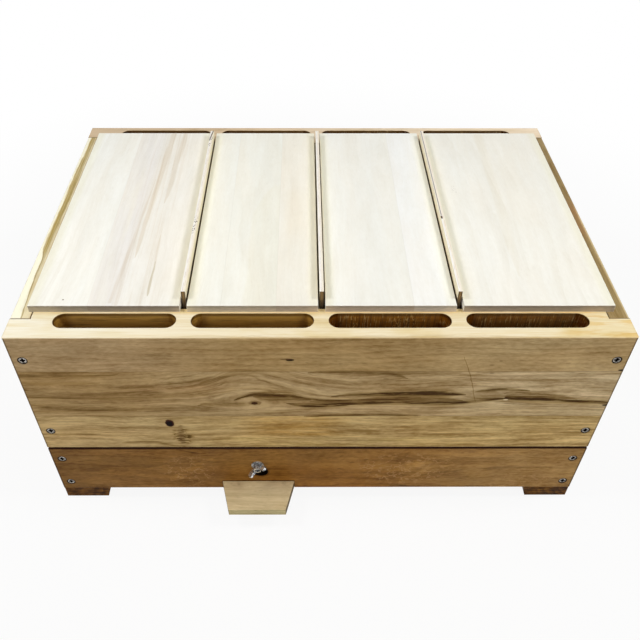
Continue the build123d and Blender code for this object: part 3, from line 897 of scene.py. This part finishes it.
# Where each entrance's middle is along its wall, and how far its landing board is from there
ENTRANCES = {"front": (-65.5, -3.5), "right": (0.3, -3.5), "rear": (68.7, 3.5), "left": (-0.3, 3.5)}
ENTRANCE_HEIGHT = 53
ENTRANCE_RADIUS = 9


def base_board(name, grain, seed, strips=("z", ())):
    streaks = (0.75,) * (len(strips[1]) + 1)
    return Board(
        name, grain, BASE, seed, streaks=streaks, rings=0.3, ring=8, pith=(50, -90), wander=60,
        mottle=1.7, flecks=0.5, strips=strips,
    )


def finish_base(board):
    board.end_grain((0.78, 0.72, 0.66))
    board.edge_wear((150, 112, 72), 0.3, 1.8)
    return board.finish()


def base_wall(side, seed):
    grain = GRAINS[side]
    board = base_board(f"base_{side}_wall", grain, seed)
    x, y, z = board.axes
    if side == "front":
        flame(board)
    if grain == "X":
        # Painted shade along the wall's ends, on the faces beside them
        rim = mul(ease(size(x), 297.2, 298.6), sub(1, board.facing("x")))
        board.paint((44, 30, 14), rim, 0.75)
        board.screw_dirt(BASE_SCREW_HEIGHTS)
    place, thickness = (x, y) if grain == "X" else (y, x)
    face = HALF_DEEP if grain == "X" else HALF_WIDE
    smear = ease(board.noise(22, 4, 0.6), 0.4, 0.65, 0.2, 0.8)
    board.paint((92, 56, 24), board.facing_up(), smear)
    # Painted shade along the base's rounded top edge, in the joint under the body
    body_joint_shade = mul(ease(z, 95.6, 97.6, 0, 0.97), ease(size(thickness), face - 7, face - 4))
    board.paint((36, 12, 4), body_joint_shade)
    middle, shift = ENTRANCES[side]
    off = sub(place, middle)
    up = sub(z, ENTRANCE_HEIGHT)
    # Painted shade in the gap above the landing board's root
    from_landing = size(sub(off, shift))
    board.paint((40, 22, 8), ease(from_landing, 43, 41.5), ease(up, -17, -18.2), 0.9)
    # Painted shade inside the entrance bore and round its rim
    from_rim = sub(distance(off, up), ENTRANCE_RADIUS)
    bore = mul(ease(from_rim, 0.4, -0.3), ease(size(thickness), face - 0.1, face - 0.7))
    board.paint((26, 17, 10), bore)
    board.tint((0.4, 0.3, 0.22), ease(from_rim, -0.4, 2.5, 0.55, 0), ease(bore, 1, 0))
    return finish_base(board)


def flame(board):
    """The front base wall's figure: darker on the left, with pale flames, an orange middle and flaws."""
    x, _, z = board.axes
    board.fade(x, -320, 320, 0.86, 1.14)
    board.tint((1.2, 1.44, 2.05), ease(x, 60, 240))
    board.tint((1, 1.03, 1.14), ease(x, -120, -260))
    orange = mul(between(x, -110, 60, 60), ease(z, 90, 40))
    board.tint((1.06, 0.96, 0.72), orange, 0.8)
    wobble = board.wobble((24, 24, 7), 14, 4, 0.6)
    patchy = ease(board.noise((34, 34, 9), 3, 0.6), 0.3, 0.65)
    for strength, points in (
        (0.8, ((-172, 36, 2), (-160, 44, 4), (-147, 56, 5), (-132, 68, 4), (-118, 78, 1))),
        (0.7, ((60, 40, 2), (84, 50, 4), (104, 63, 5), (136, 79, 3), (150, 84, 1))),
        (0.6, ((96, 34, 2), (112, 46, 4), (130, 58, 4), (150, 66, 1))),
        (0.5, ((-262, 50, 1), (-240, 52, 3), (-214, 50, 2), (-200, 48, 1))),
    ):
        mask = board.line(x, z, points, wobble, 1.6, 1.6)
        board.tint((1.5, 1.55, 1.6), mask, patchy, strength)
    veins = size(sub(board.noise((15, 15, 10), 3, 0.6), 0.5))
    veins = ease(veins, 0.035, 0.006)
    for *spot, strength in ((102, 58, 130, 0.5), (-148, 54, 70, 0.4), (240, 30, 90, 0.35)):
        near = ease(board.oval(*spot, 76, 0.5, 20), 0.5, 1.1, strength, 0)
        board.paint((186, 144, 94), near, veins)
    dashes = ease(board.noise((26, 26, 2.4), 3, 0.6), 0.56, 0.68)
    side = ease(size(add(x, 60)), 60, 160)
    board.tint((0.66, 0.56, 0.42), dashes, side, 0.5)
    for strength, points in (
        (0.3, ((-250, 66, 0.5), (-200, 64, 3), (-170, 70, 1))),
        (0.3, ((140, 52, 0.5), (190, 58, 3), (240, 62, 3), (270, 60, 0.5))),
        (0.9, ((-158, 97, 0.3), (-150, 94.5, 1.4), (-141, 91, 1.2), (-132, 89, 0.2))),
        (0.95, ((84, 22.5, 0.3), (92, 24.2, 2), (104, 23.6, 1.4), (114, 21.5, 0.3))),
    ):
        mask = board.line(x, z, points, mul(wobble, 0.3))
        board.paint((48, 24, 8), mask, patchy, strength)


def landing_board(side, seed):
    grain = GRAINS[side]
    board = Board(
        f"{side}_landing_board", grain, srgb(212, 190, 146), seed, spread=0.2, rings=0.3, ring=7,
        pith=(0, -70), wander=30,
    )
    x, y, _ = board.axes
    outward = sub(size(y), HALF_DEEP) if grain == "X" else sub(size(x), HALF_WIDE)
    smudge = board.noise(14, 4, 0.6)
    board.tint((0.74, 0.7, 0.68), board.facing_up(), ease(outward, 12, 2), ease(smudge, 0.5, 0.7))
    tip, cut = "yx" if grain == "X" else "xy"
    board.tint((0.78, 0.83, 0.74), board.facing(tip), over(outward, 20))
    # Painted shade on the landing board's cut sides
    board.tint((0.2, 0.17, 0.1), board.facing(cut))
    board.edge_wear((206, 186, 146), 0.3, 1.2)
    return board.finish(0.56, BARE_SHINE)


def runner(name, seed):
    board = base_board(name, "Y", seed)
    rough = ease(board.noise((14, 14, 3), 4, 0.65), 0.4, 0.62)
    board.tint(mix(rough, (0.22, 0.18, 0.1), (0.74, 0.68, 0.46)), 1)
    return finish_base(board)


# Frames and wax

def frame_bars(name, grain, seed):
    board = Board(
        name, grain, srgb(222, 194, 146), seed, spread=0.2, rings=0.5, ring=3.4, pith=(30, -60),
        wander=14,
    )
    board.end_grain(END_GRAIN, 0.6)
    return board.finish(0.58, BARE_SHINE)


def wax_material():
    """Wax pressed with a honeycomb of cells."""
    material, shader, tree = new_material("beeswax")
    place = position(tree)
    _, y, z = separate(place)
    cell = 5.4
    row = cell * math.sqrt(3)

    def centre_distance(shift_y, shift_z):
        """Distance from the nearest cell middle of one of the two grids that make a honeycomb."""
        wrap_y = sub(wrap(add(y, shift_y), cell), cell / 2)
        wrap_z = sub(wrap(add(z, shift_z), row), row / 2)
        flat = size(wrap_y)
        slant = add(mul(flat, 0.5), mul(size(wrap_z), math.sqrt(3) / 2))
        return most(flat, slant)

    nearest = least(centre_distance(0, 0), centre_distance(cell / 2, row / 2))
    rim = ease(nearest, 0.32 * cell, 0.5 * cell)
    mottle = noise(place, 22, 4, 0.6)
    colour = mix(ease(mottle, 0.3, 0.7), srgb(226, 172, 66), srgb(240, 200, 106))
    colour = mix(mul(rim, 0.45), colour, srgb(250, 218, 136))
    fill(shader, {
        "Base Color": colour,
        "Subsurface Weight": 0.15,
        "Subsurface Radius": (0.004, 0.002, 0.001),
        "Roughness": ease(mottle, 0.2, 0.8, 0.34, 0.5),
        "Normal": bump(rim, 0.7, 0.8),
    })
    return material


# Zinc-plated steel, dull and spotted, with painted shade in the screws' crosses and round the bolts'
# threads

SCREW_FACE = 199.6


def screw_dirt_mask(place):
    """1 in the cross and round the rim of the nearest corner screw, where shade is painted."""
    x, _, z = separate(place)
    across = size(sub(size(x), SCREW_X))
    first, *others = (*PLANK_SCREW_HEIGHTS, *BASE_SCREW_HEIGHTS)
    up = size(sub(z, first))
    for height in others:
        up = least(up, size(sub(z, height)))
    radius = distance(across, up)
    ragged = wobble(place, 1.5, 1.6)
    arms = mul(ease(least(across, up), 1.3, 0.85), ease(radius, 3.1, 2.6))
    middle = ease(radius, 2.1, 1.6)
    return most(most(arms, middle), ease(add(radius, ragged), 3.3, 4))


def thread_grime(place, bolt):
    """1 round a bolt's thread and round the foot of the nut on it, where shade is painted."""
    low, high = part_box(bolt)
    middle = [(a + b) / 2 / MM for a, b in zip(low, high)]
    x, y, z = separate(vector("SUBTRACT", place, middle))
    across = x if high[1] - low[1] > high[0] - low[0] else y
    radius = add(distance(across, z), wobble(place, 1.4, 1.6))
    return most(between(radius, 1.7, 2.8, 0.3), mul(between(radius, 4.6, 5.4, 0.3), 0.8))


def zinc_material(name, light, dark, rough, metal=1, screws=None, bolt=None):
    """Plated steel. The corner screws face front and rear, and the runners' screws face down."""
    material, shader, tree = new_material(name)
    place = position(tree)
    cloud = noise(place, 3.2, 4, 0.6)
    scratch = noise(place, (0.4, 1.1, 0.4))
    colour = mix(ease(cloud, 0.35, 0.65), light, dark)
    if screws:
        _, y, z = separate(place)
        depth = sub(SCREW_FACE, size(y)) if screws == "corner" else z
        # Painted shade in the screws' recesses, below their heads' faces
        painted_shade = ease(depth, 0.4, 0.7)
        if screws == "corner":
            painted_shade = most(painted_shade, screw_dirt_mask(place))
        colour = mix(painted_shade, colour, srgb(6, 4, 4))
        metal = sub(1, painted_shade)
        put(shader.inputs["Specular IOR Level"], 0)
    if bolt:
        # Painted shade round the bolt's thread and the nut's foot
        painted_shade = thread_grime(place, bolt)
        colour = mix(painted_shade, colour, srgb(14, 13, 12))
        metal = mul(sub(1, painted_shade), metal)
    fill(shader, {
        "Metallic": metal,
        "Base Color": colour,
        "Roughness": add(mul(sub(cloud, 0.5), 0.3), rough),
        "Normal": bump(add(cloud, mul(scratch, 0.4)), 0.15, 0.1),
    })
    return material


def dress_all():
    for make in (front_plank, rear_plank, left_wall, right_wall, cover_1, cover_2, cover_3, cover_4,
                 left_divider, centre_divider, right_divider):
        dress(make.__name__, make())
    for seed, name in enumerate(("left", "centre", "right")):
        dress(f"{name}_partition", finish_base(base_board(f"{name}_partition", "Y", 70 + seed)))
    for seed, side in enumerate(SIDES):
        dress(f"base_{side}_wall", base_wall(side, 80 + 3 * seed))
        dress(f"{side}_landing_board", landing_board(side, 90 + seed))
        grain = GRAINS[side]
        gate = plywood(f"{side}_gate", "y" if grain == "X" else "x", 95 + seed, grain)
        dress(f"{side}_gate", gate.finish(0.6, BARE_SHINE))
    dress("floor_board", finish_base(base_board("floor_board", "X", 100, ("y", (-90, 10, 95)))))
    for seed, name in enumerate(("left_runner", "right_runner")):
        dress(name, runner(name, 104 + seed))
    wax = wax_material()
    for number in range(1, 5):
        for seed, (kind, grain) in enumerate((("top", "Y"), ("end", "Z"), ("bottom", "Y"))):
            name = f"frame_{kind}_bars_{number}"
            dress(name, frame_bars(name, grain, 110 + 10 * seed + number))
        dress(f"wax_sheets_{number}", wax)
    light, dark = srgb(200, 194, 184), srgb(110, 104, 98)
    corner_zinc = zinc_material("corner_screw_zinc", light, dark, 0.36, screws="corner")
    for name in ("front_plank_screws", "rear_plank_screws", "base_front_screws", "base_rear_screws"):
        dress(name, corner_zinc)
    dress("runner_screws", zinc_material("runner_screw_zinc", light, dark, 0.36, screws="runner"))
    for side in SIDES:
        bolt = f"{side}_bolt"
        light, dark = srgb(246, 248, 250), srgb(84, 86, 90)
        nut_zinc = zinc_material(f"{side}_nut_zinc", light, dark, 0.24, 0.8, bolt=bolt)
        dress(bolt, nut_zinc)
        dress(f"{side}_wing_nut", nut_zinc)
    light, dark = srgb(220, 222, 222), srgb(70, 72, 72)
    dress("bolt_washers", zinc_material("washer_zinc", light, dark, 0.36, 0.7))


# Floor, lights and camera

WHITE = (1, 1, 1)
WORLD_LIGHT = 0.25
CAMERA_PLACE = (-0.0170, -0.6660, 0.7412)
CAMERA_PITCH = 43.734
CAMERA_YAW = -0.361
CAMERA_ROLL = 0.211
FOCAL_PIXELS = 703.6
FRAME_PIXELS = 640
CENTRE_PIXEL_X = 305.92


def seen_rays(tree):
    """1 for rays that show the background: straight to the camera, or by metal or glass."""
    path = new_node(tree, "LightPath").outputs
    return most(path["Is Camera Ray"], most(path["Is Glossy Ray"], path["Is Transmission Ray"]))


def make_floor():
    """A white floor that is shaded only near the box, and fades into the background."""
    bpy.ops.mesh.primitive_plane_add(size=12, location=(0, 0, -0.0002))
    floor = bpy.context.object
    floor.name = "studio_floor"
    material, shader, tree = new_material("studio_floor")
    tree.nodes.remove(shader)
    plain = new_node(tree, "BsdfDiffuse")
    put(plain.inputs["Color"], (0.9, 0.9, 0.89))
    glow = new_node(tree, "Emission")
    put(glow.inputs["Color"], WHITE)
    place = new_node(tree, "NewGeometry").outputs["Position"]
    reach = vector("LENGTH", place).node.outputs["Value"]
    share = mul(seen_rays(tree), ease(reach, 0.45, 1, 0.9, 1))
    blend = run("MixShader", share, plain.outputs[0], glow.outputs[0])
    put(tree.nodes["Material Output"].inputs["Surface"], blend)
    floor.data.materials.append(material)


def make_world():
    world = bpy.data.worlds.new("studio")
    bpy.context.scene.world = world
    world.use_nodes = True
    strength = add(WORLD_LIGHT, mul(seen_rays(world.node_tree), 1 - WORLD_LIGHT))
    fill(world.node_tree.nodes["Background"], {"Color": WHITE, "Strength": strength})


def make_light(name, place, size, watts):
    data = bpy.data.lights.new(name, "AREA")
    data.shape = "DISK"
    data.size = size
    data.energy = watts
    light = bpy.data.objects.new(name, data)
    bpy.context.scene.collection.objects.link(light)
    light.location = place
    light.rotation_euler = (Vector((0, 0, 0.2)) - Vector(place)).to_track_quat("-Z", "Y").to_euler()


def make_camera():
    data = bpy.data.cameras.new("camera")
    data.sensor_width = 36
    data.lens = FOCAL_PIXELS * data.sensor_width / FRAME_PIXELS
    data.shift_x = (FRAME_PIXELS / 2 - CENTRE_PIXEL_X) / FRAME_PIXELS
    data.clip_start = 0.01
    camera = bpy.data.objects.new("camera", data)
    bpy.context.scene.collection.objects.link(camera)
    turn = Matrix.Rotation(math.radians(CAMERA_YAW), 4, "Z")
    tilt = Matrix.Rotation(math.radians(90 - CAMERA_PITCH), 4, "X")
    roll = Matrix.Rotation(math.radians(CAMERA_ROLL), 4, "Z")
    camera.matrix_world = Matrix.Translation(CAMERA_PLACE) @ turn @ tilt @ roll
    bpy.context.scene.camera = camera


dress_all()
make_floor()
make_world()
make_light("left_lamp", (-0.62, -0.2, 1.05), 0.25, 3.75)
make_light("right_lamp", (0.62, -0.2, 1.05), 0.25, 3.75)
make_light("front_softbox", (0, -1.7, 0.9), 1.2, 8.7)
make_light("rear_softbox", (0, 1.7, 0.9), 1.2, 6)
make_camera()
bpy.context.scene.view_settings.view_transform = "Standard"
